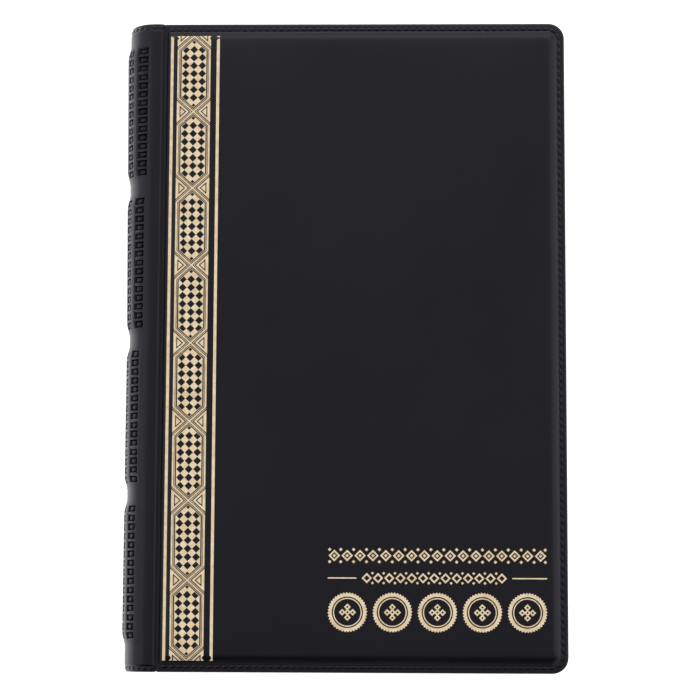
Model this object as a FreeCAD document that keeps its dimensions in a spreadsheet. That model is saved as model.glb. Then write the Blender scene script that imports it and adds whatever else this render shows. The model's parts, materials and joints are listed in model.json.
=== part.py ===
"""Pocket album for coins: two padded covers, a half-round spine and eight pages of pockets.

Frame: X runs from the spine (low X) to the fore-edge (high X), Y runs up the page and Z up
through the closed album, which lies on its rear cover. The origin is the bottom centre.
"""
import FreeCAD
import Part

import math
import os

import Sketcher

# Driving dimensions in millimetres and degrees.
SIZES = {
    # whole album
    "album_width": 125.0,
    "album_height": 185.0,
    "cover_thick": 2.0,
    "page_count": 8,
    "page_pitch": 2.05,
    # covers, from the inside out: lining, board, foam, outer skin
    "lining_film": 0.25,
    "board_thick": 0.95,
    "foam_thick": 0.45,
    "skin_film": 0.35,
    "corner_radius": 4.5,
    "board_corner": 2.5,
    "flange_width": 2.0,
    "crease_flange": 0.55,
    "side_slope": 45.0,
    "board_inset": 1.15,
    "foam_inset": 1.6,
    # hinge creases, where skin and lining are welded together
    "crease_from_edge": 10.25,
    "crease_gap": 0.2,
    # pages
    "page_film": 0.18,
    "page_height": 176.0,
    "page_right": 57.5,
    "page_left": -50.3,
    "page_corner": 3.0,
    "page_hinge_x": -51.5,
    "page_hinge_gap": 0.12,
    "tab_overlap": 1.0,
    # pockets
    "column_pitch": 34.66,
    "row_pitch": 43.4,
    "pocket_width": 33.96,
    "pocket_hollow": 1.6,
    "bottom_weld": 1.2,
    "strip_height": 42.4,
    "strip_bottom": -87.4,
    "strip_margin": 0.7,
    "mouth_overcut": 0.2,
    "pocket_right": 56.1,
    "notch_radius": 8.0,
    # welds that hold the pages to the spine
    "weld_length": 38.2,
    "weld_pitch": 43.8,
    "weld_first": 85.9,
    "inner_weld_angle": 16.0,
    "outer_weld_angle": 47.0,
    "tab_spread": 0.7,
    "tab_hinge_gap": 0.3,
    # gold foil blocked on the front cover
    "foil_film": 0.04,
    "foil_left": -50.4,
    "foil_length": 178.0,
    "foil_line": 1.0,
    "band_start": 1.9,
    "band_width": 9.6,
    "frame_line": 0.45,
    "second_line": 13.0,
    "motif_pitch": 22.25,
    "motif_point": 6.2,
    "motif_gap": 0.05,
    "title_right": 56.6,
    "title_width": 61.0,
    "title_top": -58.1,
    "title_bottom": -81.3,
    "title_rule": 0.5,
    "disc_radius": 5.4,
    "disc_pitch": 12.5,
    "disc_count": 5,
}

# Sizes worked out from the driving ones, as spreadsheet formulas.
DERIVED = {
    "album_thick": "=2 * cover_thick + page_count * page_pitch",
    "crease_x": "=crease_from_edge - album_width / 2",
    "spine_outer": "=album_thick / 2 - cover_thick + lining_film + skin_film",
    "spine_inner": "=spine_outer - skin_film",
    "lining_inner": "=spine_inner - lining_film",
    "spine_x": "=spine_outer - album_width / 2",
    "panel_left": "=crease_x + crease_gap + crease_flange",
    "panel_right": "=album_width / 2 - flange_width",
    "panel_half": "=album_height / 2 - flange_width",
    "panel_rise": "=cover_thick - lining_film - skin_film",
    "page_gap": "=page_pitch - 2 * page_film - pocket_hollow",
    "tab_half_angle": "=page_film / 2 / lining_inner * 180 / pi",
}

GROUPS = 4
COLUMNS = 3
ROWS = 4
MOTIFS = 8

TOLERANCE = 1e-6


def fill_sheet(doc):
    """Put every size in one spreadsheet, each under its own alias."""
    sheet = doc.addObject("Spreadsheet::Sheet", "dims")
    for row, (alias, value) in enumerate({**SIZES, **DERIVED}.items(), start=1):
        sheet.set(f"A{row}", alias)
        sheet.set(f"B{row}", str(value))
        sheet.setAlias(f"B{row}", alias)
    doc.recompute()
    return sheet


DOC = FreeCAD.newDocument("coin_album")
DIMS = fill_sheet(DOC)


def number(expression):
    """Present value of an expression over the sheet."""
    result = DIMS.evalExpression(expression)
    return float(getattr(result, "Value", result))


# --- building blocks --------------------------------------------------------------------

def new_body(label):
    body = DOC.addObject("PartDesign::Body", label)
    body.Label = label
    return body


def origin_feature(body, role):
    return next(item for item in body.Origin.OriginFeatures if item.Role == role)


def new_sketch(body, name, height=None, plane="XY_Plane"):
    """Sketch on one of the body's origin planes, lifted by the expression in height."""
    sketch = body.newObject("Sketcher::SketchObject", name)
    sketch.AttachmentSupport = [(origin_feature(body, plane), "")]
    sketch.MapMode = "FlatFace"
    if height:
        sketch.setExpression(".AttachmentOffset.Base.z", height)
    return sketch


def bind(sketch, kind, *place, value):
    """Add one dimension and tie it to the sheet."""
    index = sketch.addConstraint(Sketcher.Constraint(kind, *place, number(value)))
    sketch.setExpression(f"Constraints[{index}]", value)


def pin(sketch, element, point, x, y):
    """Fix one point of the sketch at the expressions x and y."""
    bind(sketch, "DistanceX", -1, 1, element, point, value=x)
    bind(sketch, "DistanceY", -1, 1, element, point, value=y)


def polygon(sketch, corners):
    """Closed outline whose corners are pairs of expressions."""
    first = sketch.GeometryCount
    count = len(corners)
    points = [FreeCAD.Vector(number(x), number(y), 0) for x, y in corners]
    for index in range(count):
        sketch.addGeometry(Part.LineSegment(points[index], points[(index + 1) % count]), False)
    for index in range(count):
        following = first + (index + 1) % count
        sketch.addConstraint(Sketcher.Constraint("Coincident", first + index, 2, following, 1))
    for index, (x, y) in enumerate(corners):
        pin(sketch, first + index, 1, x, y)


def rectangle(sketch, left, right, bottom, top):
    polygon(sketch, [(left, bottom), (right, bottom), (right, top), (left, top)])


def circle(sketch, x, y, radius):
    centre = FreeCAD.Vector(number(x), number(y), 0)
    normal = FreeCAD.Vector(0, 0, 1)
    index = sketch.addGeometry(Part.Circle(centre, normal, number(radius)), False)
    pin(sketch, index, 3, x, y)
    bind(sketch, "Radius", index, value=radius)


def pad(body, sketch, length, taper=None):
    feature = body.newObject("PartDesign::Pad", sketch.Name + "_pad")
    feature.Profile = sketch
    feature.setExpression("Length", length)
    if taper:
        feature.setExpression("TaperAngle", taper)
    sketch.Visibility = False
    DOC.recompute()
    return feature


def cut_upwards(body, sketch, depth, taper=None):
    """Pocket that runs up from its sketch."""
    feature = body.newObject("PartDesign::Pocket", sketch.Name + "_cut")
    feature.Profile = sketch
    feature.Reversed = True
    feature.setExpression("Length", depth)
    if taper:
        feature.setExpression("TaperAngle", taper)
    DOC.recompute()
    return feature


def repeat(body, original, steps):
    """Grid of copies; steps holds (axis role, pitch expression, count, reversed)."""
    grid = body.newObject("PartDesign::MultiTransform", original.Name + "_grid")
    grid.Originals = [original]
    patterns = []
    for axis, pitch, count, backwards in steps:
        pattern = body.newObject("PartDesign::LinearPattern", f"{original.Name}_{axis[0]}")
        pattern.Direction = (origin_feature(body, axis), [""])
        pattern.Mode = "Spacing"
        pattern.setExpression("Offset", pitch)
        pattern.Occurrences = count
        pattern.Reversed = backwards
        patterns.append(pattern)
    grid.Transformations = patterns
    body.Tip = grid
    DOC.recompute()
    return grid


def round_corners(body, radius, chosen):
    """Fillet the upright edges for which chosen(x, y) is true."""
    base = body.Tip
    names = []
    for index, edge in enumerate(base.Shape.Edges, start=1):
        start, end = edge.Vertexes[0].Point, edge.Vertexes[-1].Point
        upright = math.hypot(start.x - end.x, start.y - end.y) < TOLERANCE
        if upright and chosen(start.x, start.y):
            names.append(f"Edge{index}")
    fillet = body.newObject("PartDesign::Fillet", body.Name + "_corners")
    fillet.Base = (base, names)
    fillet.setExpression("Radius", radius)
    DOC.recompute()


def at_fore_edge(x, y):
    return x > 0


def anywhere(x, y):
    return True


# --- covers -------------------------------------------------------------------------------
# Each cover is drawn as the front one, with its inside face at Z = 0.

def cover_outline(sketch, inset="0"):
    rectangle(
        sketch,
        f"dims.crease_x + dims.crease_gap + {inset}",
        f"dims.album_width / 2 - {inset}",
        f"{inset} - dims.album_height / 2",
        f"dims.album_height / 2 - {inset}",
    )


def panel_outline(sketch, inset):
    rectangle(
        sketch,
        f"dims.panel_left + {inset}",
        f"dims.panel_right - {inset}",
        f"{inset} - dims.panel_half",
        f"dims.panel_half - {inset}",
    )


def cover_lining(label):
    body = new_body(label)
    sketch = new_sketch(body, label + "_outline")
    cover_outline(sketch)
    pad(body, sketch, "dims.lining_film")
    round_corners(body, "dims.corner_radius", at_fore_edge)
    return body


def cover_board(label):
    body = new_body(label)
    sketch = new_sketch(body, label + "_outline", "dims.lining_film")
    panel_outline(sketch, "dims.board_inset")
    pad(body, sketch, "dims.board_thick")
    round_corners(body, "dims.board_corner", anywhere)
    return body


def cover_foam(label):
    body = new_body(label)
    sketch = new_sketch(body, label + "_outline", "dims.lining_film + dims.board_thick")
    panel_outline(sketch, "dims.foam_inset")
    pad(body, sketch, "dims.foam_thick")
    round_corners(body, "dims.board_corner", anywhere)
    return body


def cover_skin(label):
    """Film tray: a flat welded flange round a raised panel that is hollow underneath."""
    body = new_body(label)
    flange = new_sketch(body, label + "_flange", "dims.lining_film")
    cover_outline(flange)
    pad(body, flange, "dims.skin_film")
    round_corners(body, "dims.corner_radius", at_fore_edge)
    panel = new_sketch(body, label + "_panel", "dims.lining_film + dims.skin_film")
    panel_outline(panel, "0")
    pad(body, panel, "dims.panel_rise", "-dims.side_slope")
    hollow = new_sketch(body, label + "_hollow", "dims.lining_film")
    wall = "(dims.skin_film / cos(dims.side_slope) - dims.skin_film)"
    panel_outline(hollow, wall)
    cut_upwards(body, hollow, "dims.panel_rise", "-dims.side_slope")
    return body


def build_cover(side):
    return [
        cover_skin(side + "_cover_skin"),
        cover_foam(side + "_cover_foam"),
        cover_board(side + "_cover_board"),
        cover_lining(side + "_cover_lining"),
    ]


def place_front(body):
    body.setExpression(".Placement.Base.z", "dims.album_thick - dims.cover_thick")


def place_rear(body):
    """Turn the piece over end for end, so that its outer face lies at Z = 0."""
    body.Placement.Rotation = FreeCAD.Rotation(FreeCAD.Vector(1, 0, 0), 180)
    body.setExpression(".Placement.Base.z", "dims.cover_thick")


# --- gold foil ------------------------------------------------------------------------------

def foil_strip(sketch, offset, width):
    """One upright gold line, offset from the left of the first line."""
    left = f"dims.foil_left + {offset}"
    rectangle(sketch, left, f"{left} + {width}", "-dims.foil_length / 2", "dims.foil_length / 2")


def motif_outline(sketch):
    """Long hexagon that fills the lowest motif of the band, clear of the lines beside it."""
    band_left = "dims.foil_left + dims.band_start"
    left = f"{band_left} + dims.frame_line + dims.motif_gap"
    right = f"{band_left} + dims.band_width - dims.frame_line - dims.motif_gap"
    middle = f"({band_left} + dims.band_width / 2)"
    low = "-dims.foil_length / 2 + dims.frame_line + dims.motif_gap"
    high = "dims.motif_pitch - dims.foil_length / 2 - dims.frame_line - dims.motif_gap"
    polygon(sketch, [
        (left, f"{low} + dims.motif_point"),
        (middle, low),
        (right, f"{low} + dims.motif_point"),
        (right, f"{high} - dims.motif_point"),
        (middle, high),
        (left, f"{high} - dims.motif_point"),
    ])


def gold_foil(label):
    """Foil on the front face: two lines, a band of long hexagons, rules and a row of discs."""
    body = new_body(label)
    lines = new_sketch(body, "foil_lines")
    foil_strip(lines, "0", "dims.foil_line")
    foil_strip(lines, "dims.band_start", "dims.frame_line")
    far_side = "dims.band_start + dims.band_width - dims.frame_line"
    foil_strip(lines, far_side, "dims.frame_line")
    foil_strip(lines, "dims.second_line", "dims.foil_line")
    rule_left = "dims.title_right - dims.title_width"
    for edge in ("dims.title_top", "dims.title_bottom"):
        rectangle(lines, rule_left, "dims.title_right", edge, f"{edge} + dims.title_rule")
    pad(body, lines, "dims.foil_film")
    hexagon = new_sketch(body, "foil_motif")
    motif_outline(hexagon)
    motif = pad(body, hexagon, "dims.foil_film")
    repeat(body, motif, [("Y_Axis", "dims.motif_pitch", MOTIFS, False)])
    disc = new_sketch(body, "foil_disc")
    middle = "(dims.title_top + dims.title_bottom + dims.title_rule) / 2"
    first = "dims.title_right - dims.disc_radius"
    circle(disc, first, middle, "dims.disc_radius")
    coin = pad(body, disc, "dims.foil_film")
    repeat(body, coin, [("X_Axis", "dims.disc_pitch", int(number("dims.disc_count")), True)])
    body.setExpression(".Placement.Base.z", "dims.album_thick")
    return body


# --- spine ----------------------------------------------------------------------------------

def spine_shell(label, outer, inner):
    """Half-round film whose two lips reach flat to the hinge creases."""
    body = new_body(label)
    sketch = new_sketch(body, label + "_profile", plane="XZ_Plane")
    centre = FreeCAD.Vector(number("dims.spine_x"), number("dims.album_thick / 2"), 0)
    normal = FreeCAD.Vector(0, 0, 1)
    lip = number("dims.crease_x - dims.crease_gap")
    big, small = number(outer), number(inner)
    quarter = math.pi / 2
    for radius in (big, small):
        ring = Part.Circle(centre, normal, radius)
        sketch.addGeometry(Part.ArcOfCircle(ring, quarter, 3 * quarter), False)
    for side in (1, -1):
        far, near = centre.y + side * big, centre.y + side * small
        outline = [(centre.x, far), (lip, far), (lip, near), (centre.x, near)]
        points = [FreeCAD.Vector(x, y, 0) for x, y in outline]
        for start, end in zip(points, points[1:]):
            sketch.addGeometry(Part.LineSegment(start, end), False)
    join_spine_profile(sketch, outer, inner)
    shell = pad(body, sketch, "dims.album_height")
    shell.SideType = "Symmetric"
    DOC.recompute()
    return body


def join_spine_profile(sketch, outer, inner):
    """Elements 0 and 1 are the arcs; 2 to 4 are the upper lip and 5 to 7 the lower one."""
    for arc, radius in ((0, outer), (1, inner)):
        pin(sketch, arc, 3, "dims.spine_x", "dims.album_thick / 2")
        bind(sketch, "Radius", arc, value=radius)
        for end in (1, 2):
            sketch.addConstraint(Sketcher.Constraint("Vertical", arc, end, arc, 3))
    for first, arc_end in ((2, 1), (5, 2)):
        sketch.addConstraint(Sketcher.Constraint("Coincident", 0, arc_end, first, 1))
        sketch.addConstraint(Sketcher.Constraint("Coincident", first, 2, first + 1, 1))
        sketch.addConstraint(Sketcher.Constraint("Coincident", first + 1, 2, first + 2, 1))
        sketch.addConstraint(Sketcher.Constraint("Coincident", first + 2, 2, 1, arc_end))
        sketch.addConstraint(Sketcher.Constraint("Horizontal", first))
        sketch.addConstraint(Sketcher.Constraint("Horizontal", first + 2))
        sketch.addConstraint(Sketcher.Constraint("Vertical", first + 1))
        lip = "dims.crease_x - dims.crease_gap"
        bind(sketch, "DistanceX", -1, 1, first, 2, value=lip)


# --- pages ----------------------------------------------------------------------------------

def page_base(page):
    """Height of the underside of a page's backing film; page 1 is the top one."""
    below = f"(dims.page_count - {page}) * dims.page_pitch"
    return f"(dims.cover_thick + dims.page_gap / 2 + {below})"


def weld_angle(page):
    """Angle round the spine at which a page is welded: two pages share each weld."""
    pair = (page - 1) // 2
    side = 1 if pair < GROUPS / 2 else -1
    name = "outer_weld_angle" if pair in (0, GROUPS - 1) else "inner_weld_angle"
    spread = 1 if page % 2 else -1
    return f"({side} * dims.{name} + {spread} * dims.tab_spread)"


def on_lining(angle):
    """Point on the inside of the spine's lining, at an angle above mid-height."""
    return (
        f"dims.spine_x - dims.lining_inner * cos({angle})",
        f"dims.album_thick / 2 + dims.lining_inner * sin({angle})",
    )


def page_tabs(label, page):
    """Binding edge of one page: four flat tabs from the page's crease to the spine's lining."""
    body = new_body(label)
    sketch = new_sketch(body, label + "_profile", plane="XZ_Plane")
    start = "dims.page_hinge_x - dims.tab_hinge_gap"
    polygon(sketch, [
        (start, f"{page_base(page)} + dims.page_film"),
        on_lining(f"({weld_angle(page)} + dims.tab_half_angle)"),
        on_lining(f"({weld_angle(page)} - dims.tab_half_angle)"),
        (start, page_base(page)),
    ])
    tab = pad(body, sketch, "dims.weld_length")
    repeat(body, tab, [("Y_Axis", "dims.weld_pitch", GROUPS, False)])
    body.setExpression(".Placement.Base.y", f"dims.weld_first - {GROUPS - 1} * dims.weld_pitch")
    return body


def page_backing(label, page):
    """Backing film of one page, with four short tabs that end at the page's crease."""
    body = new_body(label)
    sheet = new_sketch(body, label + "_outline")
    half = "dims.page_height / 2"
    rectangle(sheet, "dims.page_left", "dims.page_right", "-" + half, half)
    pad(body, sheet, "dims.page_film")
    round_corners(body, "dims.page_corner", at_fore_edge)
    tab = new_sketch(body, label + "_tab")
    top = "dims.weld_first"
    left = "dims.page_hinge_x + dims.page_hinge_gap"
    right = "dims.page_left + dims.tab_overlap"
    rectangle(tab, left, right, f"{top} - dims.weld_length", top)
    first = pad(body, tab, "dims.page_film")
    repeat(body, first, [("Y_Axis", "dims.weld_pitch", GROUPS, True)])
    place_page(body, page)
    return body


def page_pockets(label, page):
    """Four strips of clear film, each welded down as three pockets open at the top."""
    body = new_body(label)
    grid = [
        ("X_Axis", "dims.column_pitch", COLUMNS, True),
        ("Y_Axis", "dims.row_pitch", ROWS, False),
    ]
    strip = new_sketch(body, label + "_strip", "dims.page_film")
    strips_left = f"dims.pocket_right - {COLUMNS - 1} * dims.column_pitch - dims.pocket_width"
    left = f"{strips_left} - dims.strip_margin"
    right = "dims.pocket_right + dims.strip_margin"
    top = "dims.strip_bottom + dims.strip_height"
    rectangle(strip, left, right, "dims.strip_bottom", top)
    repeat(body, pad(body, strip, "dims.page_film"), grid[1:])
    outside = new_sketch(body, label + "_outside", "dims.page_film")
    pocket_left = "dims.pocket_right - dims.pocket_width"
    floor = "dims.strip_bottom + dims.bottom_weld"
    rectangle(outside, pocket_left, "dims.pocket_right", floor, top)
    repeat(body, pad(body, outside, "dims.pocket_hollow + dims.page_film"), grid)
    inside = new_sketch(body, label + "_inside", "dims.page_film")
    rectangle(
        inside,
        f"{pocket_left} + dims.page_film",
        "dims.pocket_right - dims.page_film",
        f"{floor} + dims.page_film",
        f"{top} + dims.mouth_overcut",
    )
    repeat(body, cut_upwards(body, inside, "dims.pocket_hollow"), grid)
    notch = new_sketch(body, label + "_notch", "dims.page_film + dims.pocket_hollow / 2")
    circle(notch, "dims.pocket_right - dims.pocket_width / 2", top, "dims.notch_radius")
    repeat(body, cut_upwards(body, notch, "dims.pocket_hollow"), grid)
    place_page(body, page)
    return body


def place_page(body, page):
    body.setExpression(".Placement.Base.z", page_base(page))


# --- the album ------------------------------------------------------------------------------

def build_album():
    pieces = []
    for body in build_cover("rear"):
        place_rear(body)
        pieces.append(body)
    for body in build_cover("front"):
        place_front(body)
        pieces.append(body)
    pieces.append(gold_foil("front_cover_gold_foil"))
    pieces.append(spine_shell("spine_skin", "dims.spine_outer", "dims.spine_inner"))
    pieces.append(spine_shell("spine_lining", "dims.spine_inner", "dims.lining_inner"))
    for page in range(1, int(number("dims.page_count")) + 1):
        pieces.append(page_tabs(f"page_{page}_binding_tabs", page))
        pieces.append(page_backing(f"page_{page}_backing_film", page))
        pieces.append(page_pockets(f"page_{page}_pocket_film", page))
    DOC.recompute()
    return pieces


def check(pieces):
    """Stop if any object failed to compute or any piece is not a valid solid."""
    for item in DOC.Objects:
        if "Invalid" in item.State or "Error" in item.State:
            raise RuntimeError(f"{item.Label} did not compute: {item.State}")
    for piece in pieces:
        shape = piece.Shape
        if shape.isNull() or not shape.isValid() or not shape.Solids:
            raise RuntimeError(f"{piece.Label} is not a valid solid")


def export(pieces):
    os.makedirs("parts", exist_ok=True)
    for piece in pieces:
        piece.Shape.exportStep(f"parts/{piece.Label}.step")


ALBUM = build_album()
check(ALBUM)
export(ALBUM)
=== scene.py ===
"""Soft vinyl album for coins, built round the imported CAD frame.

Lengths in this script are millimetres and are turned into metres when a mesh is made.
Heights on a cover are measured from its inside face, so both covers share one shape.
"""

import json
import math

import bpy
import numpy as np
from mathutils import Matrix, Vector
from mathutils.geometry import delaunay_2d_cdt


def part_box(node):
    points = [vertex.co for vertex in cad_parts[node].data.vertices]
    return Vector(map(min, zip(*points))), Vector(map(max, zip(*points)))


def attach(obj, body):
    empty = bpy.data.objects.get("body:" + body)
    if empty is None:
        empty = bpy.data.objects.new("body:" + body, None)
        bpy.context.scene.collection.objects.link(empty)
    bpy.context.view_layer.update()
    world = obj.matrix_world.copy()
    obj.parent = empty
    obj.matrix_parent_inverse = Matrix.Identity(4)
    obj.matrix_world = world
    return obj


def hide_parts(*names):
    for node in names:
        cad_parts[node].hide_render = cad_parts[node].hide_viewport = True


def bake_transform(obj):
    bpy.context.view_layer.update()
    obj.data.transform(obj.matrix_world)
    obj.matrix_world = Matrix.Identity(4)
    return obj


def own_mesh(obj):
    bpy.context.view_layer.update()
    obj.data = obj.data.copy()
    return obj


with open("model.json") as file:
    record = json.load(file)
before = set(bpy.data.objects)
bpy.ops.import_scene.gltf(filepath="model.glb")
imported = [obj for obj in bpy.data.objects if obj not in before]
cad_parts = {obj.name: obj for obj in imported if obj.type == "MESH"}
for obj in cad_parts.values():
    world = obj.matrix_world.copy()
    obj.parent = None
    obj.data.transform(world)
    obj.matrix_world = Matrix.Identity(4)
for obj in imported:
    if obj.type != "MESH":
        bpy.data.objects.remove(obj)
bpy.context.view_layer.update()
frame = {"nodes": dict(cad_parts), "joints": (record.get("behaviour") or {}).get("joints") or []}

MM = 0.001
PAGES = range(1, 9)


def box_mm(node):
    """Lowest and highest corner of a CAD node, in millimetres."""
    low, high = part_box(node)
    return np.array(low) / MM, np.array(high) / MM


def joint_mm(name):
    joint = next(item for item in frame["joints"] if item["name"] == name)
    return np.array(joint["pos_m"]) / MM


# --- places taken from the frame ---

EDGE_LOW, EDGE_HIGH = box_mm("front_cover_lining")
ALBUM_TOP = box_mm("front_cover_skin")[1][2]
BOARD_TOP = box_mm("front_cover_board")[1][2]
SPINE_LOW, SPINE_HIGH = box_mm("spine_skin")
FOIL_LOW, FOIL_HIGH = box_mm("front_cover_gold_foil")
REAR_TOP = box_mm("rear_cover_lining")[1][2]
FRONT_BASE = EDGE_LOW[2]
MID_HEIGHT = ALBUM_TOP / 2
HALF_HEIGHT = EDGE_HIGH[1]
CREASE_X = joint_mm("spine_hinge")[0]

# --- cover shape ---

LINING_FILM = EDGE_HIGH[2] - EDGE_LOW[2]
SKIN_FILM = 0.35
PANEL_FILM = 0.22
FLANGE_TOP = LINING_FILM + SKIN_FILM
FLANGE_WIDTH = 2.0
CREASE_GAP = 0.2
CREASE_FLANGE = 0.5
SQUARE_CORNER = 0.3
BORDER_DROOP = 0.12
CORNER = 4.5
SPINE_CORNER = 1.0
FORE_CORNER = 3.0
PANEL = (
    CREASE_X + CREASE_GAP + CREASE_FLANGE,
    EDGE_HIGH[0] - FLANGE_WIDTH,
    FLANGE_WIDTH - HALF_HEIGHT,
    HALF_HEIGHT - FLANGE_WIDTH,
)
RIM_HEIGHT = 1.3
RIM_WIDTH = 2.8
CROWN_HEIGHT = 0.35
REAR_CROWN = 0.09
CROWN_SOFTNESS = 0.15
PANEL_COLUMNS, PANEL_ROWS = 57, 91
CLOTH_UNITS_PER_MM = 0.1
CLOTH_PRESSURE = 4.0
CLOTH_FRAMES = 20
RIPPLE = 0.05
TOOTH_PITCH = 2.1
TOOTH_HEIGHT = 0.14
TOOTH_BAND = (0.6, 1.0, 1 / 10, 1 / 9)
FOAM_GAP = 0.37
FOAM_INSET = 1.7
FOAM_FLOOR = BOARD_TOP - FRONT_BASE + 0.01
LINING_PRESS = 0.06
LINING_WELD = (0.7, 2.3, 0.5, 0.4)
LINING_WAVE = 0.02
CREASE_FILM = 0.3
CREASE_REACH = (0.66, 0.58)
CREASE_END = 0.15
CREASE_GRID = (93, 13)


def ease_out(share):
    """Parabola that rises from 0 and levels out at 1."""
    return 1 - (1 - np.clip(share, 0, 1)) ** 2


def smooth(share):
    share = np.clip(share, 0, 1)
    return share * share * (3 - 2 * share)


def band(value, start, end, rise, fall):
    """1 between start and end, with soft edges as wide as rise and fall."""
    return smooth((value - start) / rise) * smooth((end - value) / fall)


def inset_distance(x, y):
    """Distance inwards from the panel's outline, whose corners are sharper at the spine."""
    left, right, bottom, top = PANEL
    radius = np.where(x < (left + right) / 2, SPINE_CORNER, FORE_CORNER)
    across = np.abs(x - (left + right) / 2) - ((right - left) / 2 - radius)
    along = np.abs(y - (bottom + top) / 2) - ((top - bottom) / 2 - radius)
    outside = np.hypot(np.maximum(across, 0), np.maximum(along, 0))
    return radius - outside - np.minimum(np.maximum(across, along), 0)


def inflate(points, columns, rows, held):
    """Cloth simulation of a film held at its welds and filled: heights from 0 to 1.

    The film is simulated a hundred times life size, at CLOTH_UNITS_PER_MM, because the solver
    is tuned for cushions and not for films a few centimetres across.
    """
    mesh = bpy.data.meshes.new("film_at_rest")
    scaled = (np.asarray(points) * CLOTH_UNITS_PER_MM).tolist()
    mesh.from_pydata(scaled, [], grid_faces(rows, columns))
    sheet = bpy.data.objects.new("film_at_rest", mesh)
    bpy.context.scene.collection.objects.link(sheet)
    weld = sheet.vertex_groups.new(name="weld")
    weld.add(np.flatnonzero(held).tolist(), 1.0, "REPLACE")
    cloth = sheet.modifiers.new("cloth", "CLOTH")
    cloth.settings.vertex_group_mass = "weld"
    cloth.settings.use_pressure = True
    cloth.settings.uniform_pressure_force = CLOTH_PRESSURE
    cloth.settings.effector_weights.gravity = 0
    cloth.collision_settings.use_collision = False
    cloth.point_cache.frame_end = CLOTH_FRAMES
    for frame_number in range(1, CLOTH_FRAMES + 1):
        bpy.context.scene.frame_set(frame_number)
    graph = bpy.context.evaluated_depsgraph_get()
    blown = sheet.evaluated_get(graph).data
    heights = np.empty(len(blown.vertices) * 3, np.float32)
    blown.vertices.foreach_get("co", heights)
    heights = np.abs(heights.reshape(-1, 3)[:, 2])
    bpy.data.objects.remove(sheet)
    bpy.context.scene.frame_set(1)
    return heights / heights.max()


def blown_panel():
    """Crown of the padded panel as a grid of heights, from 0 at its edges to about 1."""
    left, right, bottom, top = PANEL
    columns = np.linspace(left, right, PANEL_COLUMNS)
    x, y = np.meshgrid(columns, np.linspace(bottom, top, PANEL_ROWS))
    points = np.stack([x, y, np.zeros_like(x)], 2).reshape(-1, 3)
    border = (x == left) | (x == right) | (y == bottom) | (y == top)
    heights = inflate(points, PANEL_COLUMNS, PANEL_ROWS, border.ravel())
    return 1 - np.exp(-heights.reshape(x.shape) / CROWN_SOFTNESS)


def crown_at(x, y):
    """Crown between the points of the panel's grid, by linear interpolation."""
    left, right, bottom, top = PANEL
    u = np.clip((x - left) / (right - left), 0, 1) * (PANEL_COLUMNS - 1)
    v = np.clip((y - bottom) / (top - bottom), 0, 1) * (PANEL_ROWS - 1)
    column = np.minimum(u.astype(int), PANEL_COLUMNS - 2)
    row = np.minimum(v.astype(int), PANEL_ROWS - 2)
    u, v = u - column, v - row
    low = CROWN[row, column] * (1 - u) + CROWN[row, column + 1] * u
    high = CROWN[row + 1, column] * (1 - u) + CROWN[row + 1, column + 1] * u
    return low * (1 - v) + high * v


def ripples(x, y):
    """Slow unevenness of soft film over foam, between -1 and 1."""
    wave = np.sin(x / 11.0 + 1.3 * np.sin(y / 23.0)) * np.cos(y / 17.0 + 0.7)
    return 0.6 * wave + 0.4 * np.sin((x + 2 * y) / 29.0 + 2.1)


def panel_height(x, y, side):
    """Height of the padded panel's outer surface above the cover's inside face.

    The rear panel is pressed flat by the table that the album lies on.
    """
    crown = crown_at(x, y)
    height = FLANGE_TOP + RIM_HEIGHT * ease_out(inset_distance(x, y) / RIM_WIDTH)
    if side == "rear":
        return height + REAR_CROWN * crown
    return height + crown * (CROWN_HEIGHT + RIPPLE * ripples(x, y))


# --- mesh helpers ---

SHARP_DEGREES = 40


def new_object(name, points, faces):
    """Mesh object from points in millimetres, shaded smooth."""
    mesh = bpy.data.meshes.new(name)
    mesh.from_pydata((np.asarray(points, float) * MM).tolist(), [], faces)
    mesh.validate()
    mesh.shade_smooth()
    obj = bpy.data.objects.new(name, mesh)
    bpy.context.scene.collection.objects.link(obj)
    return obj


def thicken(obj, thickness, offset=-1.0, thin=None, thin_points=()):
    """Give a film its thickness, and a lesser one at thin_points.

    An offset of -1 grows it inwards from the surface, 1 outwards and 0 both ways.
    """
    solid = obj.modifiers.new("film", "SOLIDIFY")
    solid.thickness = thickness * MM
    solid.offset = offset
    solid.use_even_offset = False
    if thin:
        group = obj.vertex_groups.new(name="thin")
        group.add(list(thin_points), 1.0, "REPLACE")
        solid.vertex_group = "thin"
        solid.invert_vertex_group = True
        solid.thickness_vertex_group = thin / thickness
    graph = bpy.context.evaluated_depsgraph_get()
    mesh = bpy.data.meshes.new_from_object(obj.evaluated_get(graph))
    obj.modifiers.clear()
    obj.data = mesh
    mesh.set_sharp_from_angle(angle=math.radians(SHARP_DEGREES))


def grid_faces(rows, columns):
    """Faces of a rows x columns grid of points, numbered row by row."""
    index = np.arange(rows * columns).reshape(rows, columns)
    corners = (index[:-1, :-1], index[:-1, 1:], index[1:, 1:], index[1:, :-1])
    return np.stack([part.ravel() for part in corners], axis=1).tolist()


def straight(start, end, count):
    share = np.arange(count)[:, None] / count
    return np.array(start) + share * (np.array(end) - np.array(start))


def arc(centre, radius, first, count):
    """Quarter turn from the angle first, anticlockwise."""
    angle = np.radians(first + 90.0 * np.arange(count) / count)
    return np.stack([centre[0] + radius * np.cos(angle), centre[1] + radius * np.sin(angle)], 1)


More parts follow.
